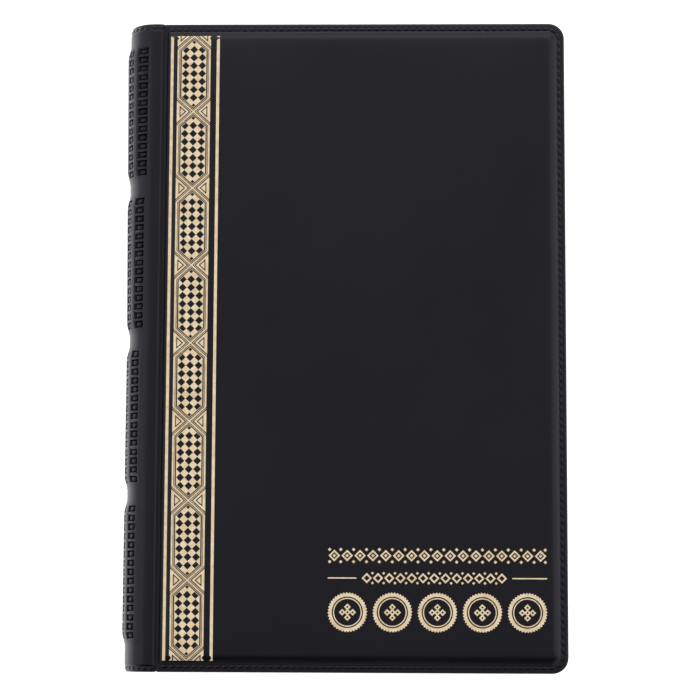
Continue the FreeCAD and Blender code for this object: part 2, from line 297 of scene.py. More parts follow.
def outline(box, near, far, counts):
    """Points round a box, with corners of radius near on its left and far on its right."""
    left, right, bottom, top = box
    across, along, corner = counts
    return np.concatenate([
        straight((left + near, bottom), (right - far, bottom), across),
        arc((right - far, bottom + far), far, -90, corner),
        straight((right, bottom + far), (right, top - far), along),
        arc((right - far, top - far), far, 0, corner),
        straight((right - far, top), (left + near, top), across),
        arc((left + near, top - near), near, 90, corner),
        straight((left, top - near), (left, bottom + near), along),
        arc((left + near, bottom + near), near, 180, corner),
    ])


def stitch_rings(rings):
    """Faces between closed rings; a ring may have a half or quarter of the points before it."""
    faces = []
    start = 0
    for outer, inner in zip(rings, rings[1:]):
        many, few = len(outer), len(inner)
        step = many // few
        base = start + many
        for index in range(few):
            edge = [start + (index * step + k) % many for k in range(step + 1)]
            faces.append(edge + [base + (index + 1) % few, base + index])
        start = base
    return faces


CROWN = blown_panel()
FINE = (384, 592, 16)
MEDIUM = tuple(count // 4 for count in FINE)
COARSE = tuple(count // 8 for count in FINE)


def inset_ring(inset, counts):
    """Ring of points at one distance inside the panel's outline."""
    left, right, bottom, top = PANEL
    shrunk = (left + inset, right - inset, bottom + inset, top - inset)
    room = (right - left) / 2 - inset
    near, far = min(SPINE_CORNER, 0.45 * room), min(FORE_CORNER, 0.45 * room)
    return outline(shrunk, near, far, counts)


def run_length(ring):
    """Distance travelled round a ring, point by point."""
    steps = np.linalg.norm(np.roll(ring, -1, axis=0) - ring, axis=1)
    return np.concatenate([[0], np.cumsum(steps)[:-1]])


def tooth_wave(distance):
    """Row of pressed teeth: 1 on a tooth, 0 between, with soft flanks."""
    phase = (distance / TOOTH_PITCH) % 1.0
    return smooth((0.5 - np.abs(phase - 0.5)) * 6 - 0.9)


# --- materials ---

def new_material(name):
    material = bpy.data.materials.new(name)
    material.use_nodes = True
    return material, material.node_tree.nodes, material.node_tree.links


def add_node(nodes, kind, **inputs):
    """Node of a kind, with the inputs it has among those given set to their values."""
    node = nodes.new(kind)
    for key, value in inputs.items():
        if key in node.inputs:
            node.inputs[key].default_value = value
    return node


def pattern(nodes, links, kind, scale_per_mm, detail=3.0):
    """Pattern over the object's own coordinates; scale is in features per millimetre."""
    place = nodes.new("ShaderNodeTexCoord")
    texture = add_node(nodes, kind, Scale=scale_per_mm / MM, Detail=detail)
    links.new(place.outputs["Object"], texture.inputs["Vector"])
    return texture.outputs


def noise(nodes, links, *scale_and_detail):
    return pattern(nodes, links, "ShaderNodeTexNoise", *scale_and_detail)["Fac"]


def bump(nodes, links, height, strength, distance_mm, before=None):
    node = add_node(nodes, "ShaderNodeBump", Strength=strength, Distance=distance_mm * MM)
    links.new(height, node.inputs["Height"])
    if before is not None:
        links.new(before, node.inputs["Normal"])
    return node.outputs["Normal"]


def feed(links, sockets, values):
    """Set each socket to a number or colour, or link it to another socket."""
    for socket, value in zip(sockets, values):
        if isinstance(value, (float, tuple)):
            socket.default_value = value
        else:
            links.new(value, socket)


def calculate(nodes, links, operation, *values):
    """Maths on numbers or sockets; returns the result socket."""
    node = nodes.new("ShaderNodeMath")
    node.operation = operation
    feed(links, node.inputs, values)
    return node.outputs[0]


def mix_colour(nodes, links, factor, first, second, blend="MIX"):
    node = nodes.new("ShaderNodeMix")
    node.data_type = "RGBA"
    node.blend_type = blend
    feed(links, (node.inputs[0], node.inputs[6], node.inputs[7]), (factor, first, second))
    return node.outputs[2]


def mix_shaders(nodes, links, *values):
    node = nodes.new("ShaderNodeMixShader")
    feed(links, node.inputs, values)
    return node.outputs[0]


def ramp_of(nodes, links, source, stops):
    """Colour ramp over a socket; stops are (position, colour) pairs."""
    ramp = nodes.new("ShaderNodeValToRGB")
    elements = ramp.color_ramp.elements
    elements.remove(elements[-1])
    elements[0].position, elements[0].color = stops[0]
    for position, colour in stops[1:]:
        elements.new(position).color = colour
    links.new(source, ramp.inputs["Fac"])
    return ramp.outputs["Color"]


BLACK = (0.0, 0.0, 0.0, 1.0)
WHITE = (1.0, 1.0, 1.0, 1.0)
SHEEN_TINT = (0.86, 0.82, 1.0, 1)
BROWN_EDGE = (0.055, 0.042, 0.034, 1)
CLEAR_TINT = (0.95, 0.965, 0.98, 1)
HAZE_TINT = (0.80, 0.82, 0.85, 1)
CLEAR_SHEEN = (0.95, 0.97, 1, 1)


def grey(value):
    return (value, value, value, 1.0)


DUST = grey(0.16)


def stored(nodes, name):
    """Value that mark_points stored for every point of a mesh."""
    attribute = nodes.new("ShaderNodeAttribute")
    attribute.attribute_name = name
    return attribute.outputs["Fac"]


def dust_mask(nodes, links):
    """Scattered specks: the middles of some of the cells of a coarse pattern."""
    cells = pattern(nodes, links, "ShaderNodeTexVoronoi", 0.09)
    size = ramp_of(nodes, links, cells["Distance"], [(0.0, WHITE), (0.022, BLACK)])
    chosen = ramp_of(nodes, links, cells["Color"], [(0.72, BLACK), (0.74, WHITE)])
    return calculate(nodes, links, "MULTIPLY", size, chosen)


def vinyl_material(name, base, roughness):
    """Black vinyl film: fine grain, slow sheen changes, specks of dust, a brown cut edge and
    painted shade in the pressed welds.
    """
    material, nodes, links = new_material(name)
    shader = nodes["Principled BSDF"]
    shader.inputs["Specular Tint"].default_value = SHEEN_TINT
    cloud = noise(nodes, links, 0.03, 4.0)
    tone = ramp_of(nodes, links, cloud, [
        (0.3, (*(channel * 0.85 for channel in base), 1)),
        (0.7, (*(channel * 1.15 for channel in base), 1)),
    ])
    dusty = mix_colour(nodes, links, dust_mask(nodes, links), tone, DUST)
    colour = mix_colour(nodes, links, stored(nodes, "cut_edge"), dusty, BROWN_EDGE)
    links.new(colour, shader.inputs["Base Color"])
    # Pressed weld cells reflect less: the darker welded film, with painted shade in their
    # recesses.
    weld_shade_stops = [(0.2, grey(0.5)), (0.9, grey(0.14))]
    weld_shade = ramp_of(nodes, links, stored(nodes, "pressed"), weld_shade_stops)
    links.new(weld_shade, shader.inputs["Specular IOR Level"])
    rough = ramp_of(nodes, links, cloud, [
        (0.3, grey(roughness - 0.03)),
        (0.7, grey(roughness + 0.04)),
    ])
    links.new(rough, shader.inputs["Roughness"])
    grain = noise(nodes, links, 3.2, 2.0)
    pores = noise(nodes, links, 0.9, 3.0)
    first = bump(nodes, links, grain, 0.25, 0.02)
    links.new(bump(nodes, links, pores, 0.2, 0.05, first), shader.inputs["Normal"])
    return material


def foil_material():
    """Satin gold foil, worn a little darker in patches."""
    material, nodes, links = new_material("gold_foil")
    shader = nodes["Principled BSDF"]
    shader.inputs["Metallic"].default_value = 0.3
    wear = noise(nodes, links, 0.5, 5.0)
    colour = ramp_of(nodes, links, wear, [
        (0.3, (0.74, 0.56, 0.34, 1)),
        (0.5, (0.83, 0.66, 0.43, 1)),
        (0.7, (0.91, 0.78, 0.56, 1)),
    ])
    links.new(colour, shader.inputs["Base Color"])
    rough = ramp_of(nodes, links, wear, [(0.3, grey(0.5)), (0.7, grey(0.34))])
    links.new(rough, shader.inputs["Roughness"])
    fine = noise(nodes, links, 4.0, 2.0)
    links.new(bump(nodes, links, fine, 0.3, 0.02), shader.inputs["Normal"])
    return material


DEEPEST_LAYER = 6.5
VINYL_IOR = 1.45


def one_way_ior(nodes, links):
    """Refractive index that makes a film's far surface mirror no more than its near one."""
    surface = nodes.new("ShaderNodeNewGeometry")
    index = nodes.new("ShaderNodeMapRange")
    index.inputs["To Min"].default_value = VINYL_IOR
    index.inputs["To Max"].default_value = 1 / VINYL_IOR
    links.new(surface.outputs["Backfacing"], index.inputs["Value"])
    return index.outputs[0]


def clear_material(name, haze_low, haze_high, relief):
    """Clear vinyl film: see-through, with a sheen and a faint uneven haze.

    Behind DEEPEST_LAYER surfaces the film is all haze, which is what a thick stack looks like.
    """
    material, nodes, links = new_material(name)
    nodes.remove(nodes["Principled BSDF"])
    output = nodes["Material Output"]
    through = add_node(nodes, "ShaderNodeBsdfTransparent", Color=CLEAR_TINT)
    front = add_node(nodes, "ShaderNodeBsdfDiffuse", Color=HAZE_TINT)
    behind = add_node(nodes, "ShaderNodeBsdfTranslucent", Color=HAZE_TINT)
    sheen = add_node(nodes, "ShaderNodeBsdfGlossy", Color=CLEAR_SHEEN, Roughness=0.16)
    wave = noise(nodes, links, 0.03, 2.0)
    streak = noise(nodes, links, 0.5, 3.0)
    normal = bump(nodes, links, wave, 0.5, 0.9)
    normal = bump(nodes, links, streak, relief, 0.03, normal)
    links.new(normal, sheen.inputs["Normal"])
    fresnel = nodes.new("ShaderNodeFresnel")
    links.new(normal, fresnel.inputs["Normal"])
    links.new(one_way_ior(nodes, links), fresnel.inputs["IOR"])
    layers = nodes.new("ShaderNodeLightPath").outputs["Transparent Depth"]
    deep = calculate(nodes, links, "GREATER_THAN", layers, DEEPEST_LAYER)
    stops = [(0.3, grey(haze_low)), (0.75, grey(haze_high))]
    film = ramp_of(nodes, links, streak, stops)
    opacity = calculate(nodes, links, "MAXIMUM", deep, film)
    haze = mix_shaders(nodes, links, 0.5, front.outputs[0], behind.outputs[0])
    cloudy = mix_shaders(nodes, links, opacity, through.outputs[0], haze)
    final = mix_shaders(nodes, links, fresnel.outputs[0], cloudy, sheen.outputs[0])
    links.new(final, output.inputs["Surface"])
    return material


def fibre_material(name, light, dark, scale):
    """Matt board or foam: blotches over fine fibres."""
    material, nodes, links = new_material(name)
    shader = nodes["Principled BSDF"]
    shader.inputs["Roughness"].default_value = 0.9
    fibre = noise(nodes, links, scale, 6.0)
    colour = ramp_of(nodes, links, fibre, [(0.35, dark), (0.65, light)])
    links.new(colour, shader.inputs["Base Color"])
    links.new(bump(nodes, links, fibre, 0.5, 0.1), shader.inputs["Normal"])
    return material


COVER_VINYL = vinyl_material("cover_vinyl", (0.0022, 0.0020, 0.0026), 0.34)
LINING_VINYL = vinyl_material("lining_vinyl", (0.004, 0.004, 0.0045), 0.36)
GOLD = foil_material()
CLEAR = clear_material("clear_vinyl", 0.05, 0.1, 0.3)
WELDED = clear_material("welded_vinyl", 0.3, 0.5, 0.9)
BOARD = fibre_material("grey_board", (0.42, 0.40, 0.36, 1), (0.27, 0.25, 0.22, 1), 0.9)
FOAM = fibre_material("padding_foam", (0.86, 0.86, 0.82, 1), (0.70, 0.70, 0.66, 1), 2.2)


def paint(obj, material):
    obj.data.materials.clear()
    obj.data.materials.append(material)


def stand_for(obj, node, body):
    """Let a finished piece replace a CAD node and ride on its body."""
    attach(obj, body)
    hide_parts(node)


def mark_points(obj, name, values):
    """Store a value for every point, which the materials read."""
    attribute = obj.data.attributes.new(name, "FLOAT", "POINT")
    attribute.data.foreach_set("value", np.asarray(values, np.float32))


# --- covers ---

def place_on_cover(points, side):
    """Move points from the shared cover shape to the front or the rear cover."""
    points = np.array(points, float)
    if side == "front":
        points[:, 2] += FRONT_BASE
    else:
        points[:, 1] *= -1
        points[:, 2] = REAR_TOP - points[:, 2]
    return points


EDGE_BOX = (EDGE_LOW[0], EDGE_HIGH[0], -HALF_HEIGHT, HALF_HEIGHT)
FLANGE_SHARES = (0.0, 0.05, 0.16, 0.4, 0.56, 0.64, 0.7, 0.76, 0.84, 0.9, 0.95, 1.0)
BROWN_BY_RING = (1.0, 0.75, 0.15)
RIM_INSETS = (0.04, 0.12, 0.26, 0.46, 0.74, 1.1)
SLOPE_INSETS = (1.5, 1.95, 2.4, 3.0, 3.7, 4.6, 5.8, 7.2, 9.0, 11.0, 13.2)
FLAT_INSETS = (16, 19, 23, 28, 34, 41, 48, 53, 55.4)
FOAM_INSETS = (FOAM_INSET, 2.1, 2.8, 4, 6, 9, 13)
LINING_INSETS = (0, 0.5, 0.9, 1.2, 1.6, 2.0, 2.3, 3.2, 5, 8, 13, 20, 28, 37, 46, 54)


def flange_rings():
    """Welded border: flat, with a row of pressed teeth along its inner part."""
    outer = outline(EDGE_BOX, SQUARE_CORNER, CORNER, FINE)
    inner = inset_ring(0, FINE)
    hinge_side = outer[:, 0] < EDGE_BOX[0] + 0.5
    teeth = np.where(hinge_side, 0, tooth_wave(run_length(inner)))
    rings = []
    for share in FLANGE_SHARES:
        ring = outer + share * (inner - outer)
        height = FLANGE_TOP + TOOTH_HEIGHT * band(share, *TOOTH_BAND) * teeth
        height = height - BORDER_DROOP * (1 - smooth(share / 0.16))
        rings.append(np.column_stack([ring, height]))
    return rings


def panel_rings(side, insets, counts, drop=0.0):
    """Rings over the padded panel, or as far as drop below its outer surface."""
    rings = []
    for inset in insets:
        ring = inset_ring(inset, counts)
        height = panel_height(ring[:, 0], ring[:, 1], side) - drop
        rings.append(np.column_stack([ring, height]))
    return rings


def centre_faces(ring_start):
    """Close the last, narrow ring: join its right side to its left side."""
    across, along, corner = COARSE
    total = 2 * (across + along) + 4 * corner
    right, left = across + corner, total - corner
    faces = [[right + k, right + k + 1, left - k - 1, left - k] for k in range(along)]
    faces.append([*range(left, total), *range(right + 1)])
    faces.append([*range(right + along, left - along + 1)])
    return [[ring_start + point for point in face] for face in faces]


def sheet_of(rings):
    """Points and faces of a sheet made of rings, the last of them closed."""
    points = np.concatenate(rings)
    return points, stitch_rings(rings) + centre_faces(len(points) - len(rings[-1]))


def build_cover_skin(side):
    """Outer film: welded border, rim and crowned panel in one sheet."""
    rings = flange_rings() + panel_rings(side, RIM_INSETS, FINE)
    rings += panel_rings(side, SLOPE_INSETS, MEDIUM) + panel_rings(side, FLAT_INSETS, COARSE)
    points, faces = sheet_of(rings)
    obj = new_object(f"{side}_skin", place_on_cover(points, side), faces)
    edge = np.zeros(len(points))
    per_ring = len(rings[0])
    for index, value in enumerate(BROWN_BY_RING):
        edge[index * per_ring:(index + 1) * per_ring] = value
    mark_points(obj, "cut_edge", edge)
    panel_points = range(per_ring * len(FLANGE_SHARES), len(points))
    thicken(obj, SKIN_FILM, thin=PANEL_FILM, thin_points=panel_points)
    paint(obj, COVER_VINYL)
    stand_for(obj, f"{side}_cover_skin", f"{side}_cover")


def build_foam(side):
    """Soft padding under the film: it fills the panel down to the board."""
    border = inset_ring(FOAM_INSET, MEDIUM)
    rings = [np.column_stack([border, np.full(len(border), FOAM_FLOOR)])]
    rings += panel_rings(side, FOAM_INSETS, MEDIUM, FOAM_GAP)
    rings += panel_rings(side, FLAT_INSETS, COARSE, FOAM_GAP)
    points, faces = sheet_of(rings)
    faces.append(list(range(len(rings[0])))[::-1])
    obj = new_object(f"{side}_foam", place_on_cover(points, side), faces)
    paint(obj, FOAM)
    stand_for(obj, f"{side}_cover_foam", f"{side}_cover")


def build_cover_lining(side):
    """Inner film, pressed down into the weld near the border and lying on the board inside it."""
    rings = []
    left, right, bottom, top = EDGE_BOX
    for inset in LINING_INSETS:
        box = (left + inset, right - inset, bottom + inset, top - inset)
        near, far = max(SQUARE_CORNER - inset, 0.05), max(CORNER - inset, 0.4)
        ring = outline(box, near, far, COARSE if inset > 4 else MEDIUM)
        wave = LINING_WAVE * smooth((inset - 2) / 4) * (1 + ripples(ring[:, 1], ring[:, 0]))
        height = LINING_PRESS * band(inset, *LINING_WELD) + wave
        rings.append(np.column_stack([ring, height]))
    points, faces = sheet_of(rings)
    obj = new_object(f"{side}_lining", place_on_cover(points, side), faces)
    thicken(obj, LINING_FILM - 2 * LINING_WAVE, offset=1.0)
    paint(obj, LINING_VINYL)
    stand_for(obj, f"{side}_cover_lining", f"{side}_cover")


# --- spine ---

GROUPS = 4
LADDERS = 4
CELLS = 15
CELL_PITCH = 2.53
CELL_HALF_WIDTH = 1.75
CELL_HALF_LENGTH = 1.12
CELL_DEPTH = 0.6
CELL_CORE = 0.55
COLUMN_PITCH = 5.0
TABS_LOW, TABS_HIGH = box_mm("page_1_binding_tabs")
GROUP_PITCH = (TABS_HIGH[1] - TABS_LOW[1] - CELLS * CELL_PITCH) / (GROUPS - 1)
GROUP_CENTRES = [TABS_HIGH[1] - CELLS * CELL_PITCH / 2 - GROUP_PITCH * k for k in range(GROUPS)]
COLUMN_STARTS = (5.85, 6.55, 7.65, 8.15)
BEAD_START = CREASE_X - 0.6
BEAD_WIDTH = 1.1
BEAD_HEIGHT = 0.45
SPINE_BEND = -55.2
GROOVE = FRONT_BASE + FLANGE_TOP
SPINE_CROWN = GROOVE + BEAD_HEIGHT
FINE_PROFILE = 0.22
WAIST = 0.85
WAIST_FADE = 4.6
HELD_BEYOND = 2.0
HEAD_BULGE = 1.1
END_FLANGE = 0.32
SPINE_TOOTH = 0.18
SPINE_BAND = (0.5, 1.6, 0.25, 0.25)
BROWN_SPINE = 0.8
BROWN_WIDTH = 0.35


def spine_profile(step):
    """Cross-section from the front crease to the rear one: points, outward normals, lengths."""
    turn = np.radians(np.arange(0, 90.1, 1.5))
    bead_x = BEAD_START - BEAD_WIDTH + BEAD_WIDTH * np.cos(turn)
    bead_z = GROOVE + (SPINE_CROWN - GROOVE) * np.sin(turn)
    round_x = SPINE_BEND - (SPINE_BEND - SPINE_LOW[0]) * np.sin(turn)
    round_z = MID_HEIGHT + (SPINE_CROWN - MID_HEIGHT) * np.cos(turn)
    upper_x = np.concatenate([[SPINE_HIGH[0]], bead_x, round_x])
    upper_z = np.concatenate([[GROOVE], bead_z, round_z])
    x = np.concatenate([upper_x, upper_x[-2::-1]])
    z = np.concatenate([upper_z, 2 * MID_HEIGHT - upper_z[-2::-1]])
    length = np.concatenate([[0], np.cumsum(np.hypot(np.diff(x), np.diff(z)))])
    count = int(length[-1] / step) + 1
    places = np.linspace(0, length[-1], count)
    points = np.stack([np.interp(places, length, x), np.interp(places, length, z)], 1)
    along = np.gradient(points, axis=0)
    along /= np.linalg.norm(along, axis=1)[:, None]
    normals = np.stack([along[:, 1], -along[:, 0]], 1)
    return points, normals, places


def weld_press(place, y):
    """Pressed weld ladders, 0 to 1: place is the length round the spine."""
    depth = np.zeros_like(y)
    for centre, start in zip(GROUP_CENTRES, COLUMN_STARTS):
        local = (y - centre) / CELL_PITCH + CELLS / 2
        cell = (np.clip(local, 0, CELLS - 0.001) % 1.0 - 0.5) * CELL_PITCH
        within = (local > 0) & (local < CELLS)
        for ladder in range(LADDERS):
            across = np.abs(place - start - COLUMN_PITCH * ladder)
            along = np.abs(cell)
            pressed = smooth((CELL_HALF_WIDTH - across) / 0.25)
            pressed = pressed * smooth((CELL_HALF_LENGTH - along) / 0.2)
            core = smooth((CELL_CORE + 0.3 - across) / 0.3) * smooth((CELL_CORE - along) / 0.25)
            depth = depth + within * pressed * (1 - 0.6 * core)
    return depth


def spine_waist(y):
    """How far the spine draws in between the weld groups and at its ends."""
    held = np.zeros_like(y)
    reach = CELLS * CELL_PITCH / 2 + HELD_BEYOND
    for centre in GROUP_CENTRES:
        held = held + smooth((reach - np.abs(y - centre)) / WAIST_FADE)
    return WAIST * (1 - held)


def spine_surface(step, row_step, offset):
    """Grid of points over the spine, pushed out by offset along the cross-section's normals.

    Returns the points, the number of rows and columns, and how far each point is pressed.
    """
    profile, normals, places = spine_profile(step)
    rows = np.linspace(-HALF_HEIGHT, HALF_HEIGHT, int(2 * HALF_HEIGHT / row_step) + 1)
    place, y = np.meshgrid(places, rows)
    waist = spine_waist(y)
    bulge = np.clip((SPINE_BEND - profile[:, 0]) / (SPINE_BEND - SPINE_LOW[0]), 0, 1)
    pressed = weld_press(place, y)
    push = offset - CELL_DEPTH * pressed
    end = smooth((np.abs(y) - (HALF_HEIGHT - FLANGE_WIDTH)) / 0.5)
    lip = np.clip((SPINE_HIGH[0] - profile[:, 0]) / 0.8, 0, 1)
    push = push - lip * END_FLANGE * end
    from_end = HALF_HEIGHT - np.abs(y)
    push = push + SPINE_TOOTH * tooth_wave(place) * band(from_end, *SPINE_BAND) * lip
    swell = HEAD_BULGE * np.clip(y / HALF_HEIGHT, 0, 1)
    x = profile[:, 0] + normals[:, 0] * push + (waist - swell) * bulge
    z = profile[:, 1] + normals[:, 1] * push
    points = np.stack([x, y, z], 2).reshape(-1, 3)
    return points, len(rows), len(places), pressed.ravel()


def flatten_with_spine(obj):
    """Give a soft piece of the spine its own copy of its mesh."""
    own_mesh(obj)


def build_spine():
    points, rows, columns, pressed = spine_surface(FINE_PROFILE, 0.2, 0.0)
    skin = new_object("spine_cover", points, grid_faces(rows, columns))
    from_end = HALF_HEIGHT - np.abs(points[:, 1])
    mark_points(skin, "cut_edge", BROWN_SPINE * smooth((BROWN_WIDTH - from_end) / 0.25))
    mark_points(skin, "pressed", pressed)
    thicken(skin, SKIN_FILM)
    paint(skin, COVER_VINYL)
    flatten_with_spine(skin)
    stand_for(skin, "spine_skin", "spine")
    points, rows, columns, _ = spine_surface(2 * FINE_PROFILE, 0.4, -SKIN_FILM - 0.01)
    lining = new_object("spine_inner_film", points, grid_faces(rows, columns))
    thicken(lining, LINING_FILM)
    paint(lining, LINING_VINYL)
    flatten_with_spine(lining)
    stand_for(lining, "spine_lining", "spine")


def build_creases():
    """Flexible film across each crease, laid flat at the height of its hinge."""
    rows, columns = CREASE_GRID
    across = np.linspace(CREASE_X - CREASE_REACH[0], CREASE_X + CREASE_REACH[1], columns)
    along = np.linspace(CREASE_END - HALF_HEIGHT, HALF_HEIGHT - CREASE_END, rows)
    x, y = np.meshgrid(across, along)
    for name, joint, bodies, gap in (
        ("front_crease", "front_cover_hinge", ("spine", "front_cover"), CREASE_GAP),
        ("rear_crease", "spine_hinge", ("rear_cover", "spine"), -CREASE_GAP),
    ):
        height = joint_mm(joint)[2]
        points = np.stack([x, y, np.full_like(x, height + CREASE_FILM / 2)], 2)
        obj = new_object(name, points.reshape(-1, 3), grid_faces(rows, columns))
        thicken(obj, CREASE_FILM)
        paint(obj, COVER_VINYL)
        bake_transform(obj)


# --- gold ornament ---
# Shapes are painted in order, filled or bare, and only what stays filled at the end is built.

FOIL_FILM = 0.03
FOIL_LIFT = 0.04
MOTIFS = 8
MOTIF = (FOIL_HIGH[1] - FOIL_LOW[1]) / MOTIFS
BAND_LEFT = FOIL_LOW[0] + 1.9
BAND_HALF = 4.75
BAND_CENTRE = BAND_LEFT + 4.85
BAND_DROP = 0.3
LINE_OFFSETS = (0.0, 13.25)
LINE_WIDTH = 0.85
SHOULDER = 4.3
SLOPE_COS = BAND_HALF / math.hypot(BAND_HALF, SHOULDER)
SLOPE_SIN = SHOULDER / math.hypot(BAND_HALF, SHOULDER)
FILLED, BARE = True, False
FIELD = (0.86, 1.2)
HEXAGONS = (
    (0.0, 0.0, FILLED),
    (0.2, 0.5, BARE),
    (0.42, 0.68, FILLED),
    (0.56, 0.84, BARE),
    (*FIELD, FILLED),
)
RIBBONS = ((0.0, 0.2), (0.42, 0.58))
TRIANGLES = ((1.3, 4.8, FILLED), (2.05, 4.0, BARE), (2.5, 3.72, FILLED))
DIAMOND, TIP_DIAMOND = 1.14, 0.7
DIAMOND_ROW, DIAMOND_COLUMN = 2.35, 2.38
FOIL_SPACING = 1.6


def clip(polygon, point, normal):
    """Part of a convex polygon on the side of a line that the normal points to."""
    kept = []
    for here, after in zip(polygon, polygon[1:] + polygon[:1]):
        a = (here[0] - point[0]) * normal[0] + (here[1] - point[1]) * normal[1]
        b = (after[0] - point[0]) * normal[0] + (after[1] - point[1]) * normal[1]
        if a >= 0:
            kept.append(here)
        if a * b < 0:
            share = a / (a - b)
            kept.append(tuple(h + share * (k - h) for h, k in zip(here, after)))
    return kept


def hexagon(slope_inset, side_inset):
    """Long hexagon of one motif, drawn in from its slopes and from its sides."""
    half = BAND_HALF - side_inset
    tip = slope_inset / SLOPE_COS
    shoulder = tip + half * SHOULDER / BAND_HALF
    return [
        (0, tip), (half, shoulder), (half, MOTIF - shoulder),
        (0, MOTIF - tip), (-half, MOTIF - shoulder), (-half, shoulder),
    ]


def inside_hexagon(polygon, slope_inset, side_inset):
    corners = hexagon(slope_inset, side_inset)
    for here, after in zip(corners, corners[1:] + corners[:1]):
        polygon = clip(polygon, here, (here[1] - after[1], after[0] - here[0]))
    return polygon


def diamond(x, y, reach):
    return [(x, y - reach), (x + reach, y), (x, y + reach), (x - reach, y)]


def crossing_shapes():
    """Quarter of the crossing between two motifs: two ribbons and a nest of triangles."""
    shapes = []
    for near, far in RIBBONS:
        shapes.append(([
            (near / SLOPE_SIN, 0), (far / SLOPE_SIN, 0),
            (BAND_HALF, SHOULDER - far / SLOPE_COS),
            (BAND_HALF, SHOULDER - near / SLOPE_COS),
        ], FILLED))
    for apex, base, colour in TRIANGLES:
        height = (base - apex) * SHOULDER / BAND_HALF
        shapes.append(([(apex, 0), (base, 0), (base, height)], colour))
    return shapes


def motif_shapes():
    """Painted shapes of one motif, from one crossing (0, 0) up to the next (0, MOTIF)."""
    shapes = []
    for side in (1, -1):
        for end, up in ((0, 1), (MOTIF, -1)):
            for polygon, colour in crossing_shapes():
                shapes.append(([(side * x, end + up * y) for x, y in polygon], colour))
    for slope_inset, side_inset, colour in HEXAGONS:
        shapes.append((hexagon(slope_inset, side_inset), colour))
    checks = [(column, row, DIAMOND) for row in range(-3, 4) for column in (-1, 0, 1)]
    checks += [(0, row, TIP_DIAMOND) for row in (-4, 4)]
    for column, row, reach in checks:
        whole = diamond(column * DIAMOND_COLUMN, MOTIF / 2 + row * DIAMOND_ROW, reach)
        part = inside_hexagon(whole, FIELD[0] + 0.12, FIELD[1] + 0.1)
        if len(part) > 2:
            shapes.append((part, BARE))
    return shapes


def anticlockwise(polygon):
    pairs = zip(polygon, polygon[1:] + polygon[:1])
    area = sum(a[0] * b[1] - b[0] * a[1] for a, b in pairs)
    return polygon if area > 0 else polygon[::-1]


def divided(polygon, spacing):
    """The same outline with no edge longer than spacing."""
    points = []
    for here, after in zip(polygon, polygon[1:] + polygon[:1]):
        count = max(1, math.ceil(math.dist(here, after) / spacing))
        for index in range(count):
            share = index / count
            points.append(tuple(h + share * (k - h) for h, k in zip(here, after)))
    return points


def painted_triangles(shapes, spacing):
    """Triangles that stay filled once every shape is painted over the ones before it."""
    points, faces = [], []
    for polygon, _ in shapes:
        outline_points = divided(anticlockwise(polygon), spacing)
        faces.append(list(range(len(points), len(points) + len(outline_points))))
        points += outline_points
    low, high = np.min(points, axis=0), np.max(points, axis=0)
    for x in np.arange(low[0] + spacing / 2, high[0], spacing):
        for y in np.arange(low[1] + spacing / 2, high[1], spacing):
            points.append((x, y))
    flat = [Vector(point) for point in points]
    result = delaunay_2d_cdt(flat, [], faces, 0, 1e-5)
    corners, triangles, sources = result[0], result[2], result[5]
    kept = [tri for tri, found in zip(triangles, sources) if found and shapes[max(found)][1]]
    used, renumbered = np.unique(kept, return_inverse=True)
    return np.array(corners)[used], renumbered.reshape(-1, 3).tolist()


def rectangle_shape(left, right, bottom, top):
    return [(left, bottom), (right, bottom), (right, top), (left, top)]


def circle_shape(x, y, radius, count):
    turn = np.radians(np.arange(count) * 360 / count)
    return [(x + radius * math.cos(t), y + radius * math.sin(t)) for t in turn]


def milled_disc(x, y, radius):
    """Disc with fine square notches round its edge."""
    points = []
    for index in range(4 * MILLING):
        turn = math.tau * (index + 0.5) / (4 * MILLING)
        reach = radius if index % 4 < 2 else radius - NOTCH_DEPTH
        points.append((x + reach * math.cos(turn), y + reach * math.sin(turn)))
    return points


TITLE_LEFT, TITLE_RIGHT = -4.4, FOIL_HIGH[0]
UPPER_Y, LOWER_Y, COIN_Y = -60.05, -66.27, -75.75
UPPER_LOZENGES, UPPER_SIZES, UPPER_BEAD = 17, (1.62, 0.98, 0.5), 0.5
UPPER_BEAD_RISE = 1.7
LOWER_LEFT, LOWER_RIGHT = 4.9, 45.6
LOWER_LOZENGES, LOWER_SIZES, LOWER_BEAD = 13, (1.45, 0.8), 0.42
LOWER_BEAD_RISE = 1.35
RULE_GAP, RULE_LOW, RULE_HIGH = 1.3, -66.45, -66.1
COINS, COIN_RADIUS = 5, 5.5
MILLING, NOTCH_DEPTH = 40, 0.28
COIN_RINGS = ((1.15, BARE), (1.5, FILLED), (1.8, BARE))
CIRCLE_POINTS = 60
ROSETTE = ((0, 0), (1, 0), (-1, 0), (0, 1), (0, -1))
ROSETTE_PITCH, ROSETTE_SIZES = 1.45, (0.95, 0.36)


def nested(x, y, sizes):
    """Lozenges inside each other, filled and bare in turn."""
    return [(diamond(x, y, size), index % 2 == 0) for index, size in enumerate(sizes)]


def upper_frieze():
    shapes = []
    pitch = (TITLE_RIGHT - TITLE_LEFT) / UPPER_LOZENGES
    for index in range(UPPER_LOZENGES):
        shapes += nested(TITLE_LEFT + pitch * (index + 0.5), UPPER_Y, UPPER_SIZES)
    for index in range(UPPER_LOZENGES + 1):
        x = TITLE_LEFT + pitch * index
        x = min(max(x, TITLE_LEFT + UPPER_BEAD), TITLE_RIGHT - UPPER_BEAD)
        for rise in (UPPER_BEAD_RISE, -UPPER_BEAD_RISE):
            shapes.append((diamond(x, UPPER_Y + rise, UPPER_BEAD), FILLED))
    return shapes


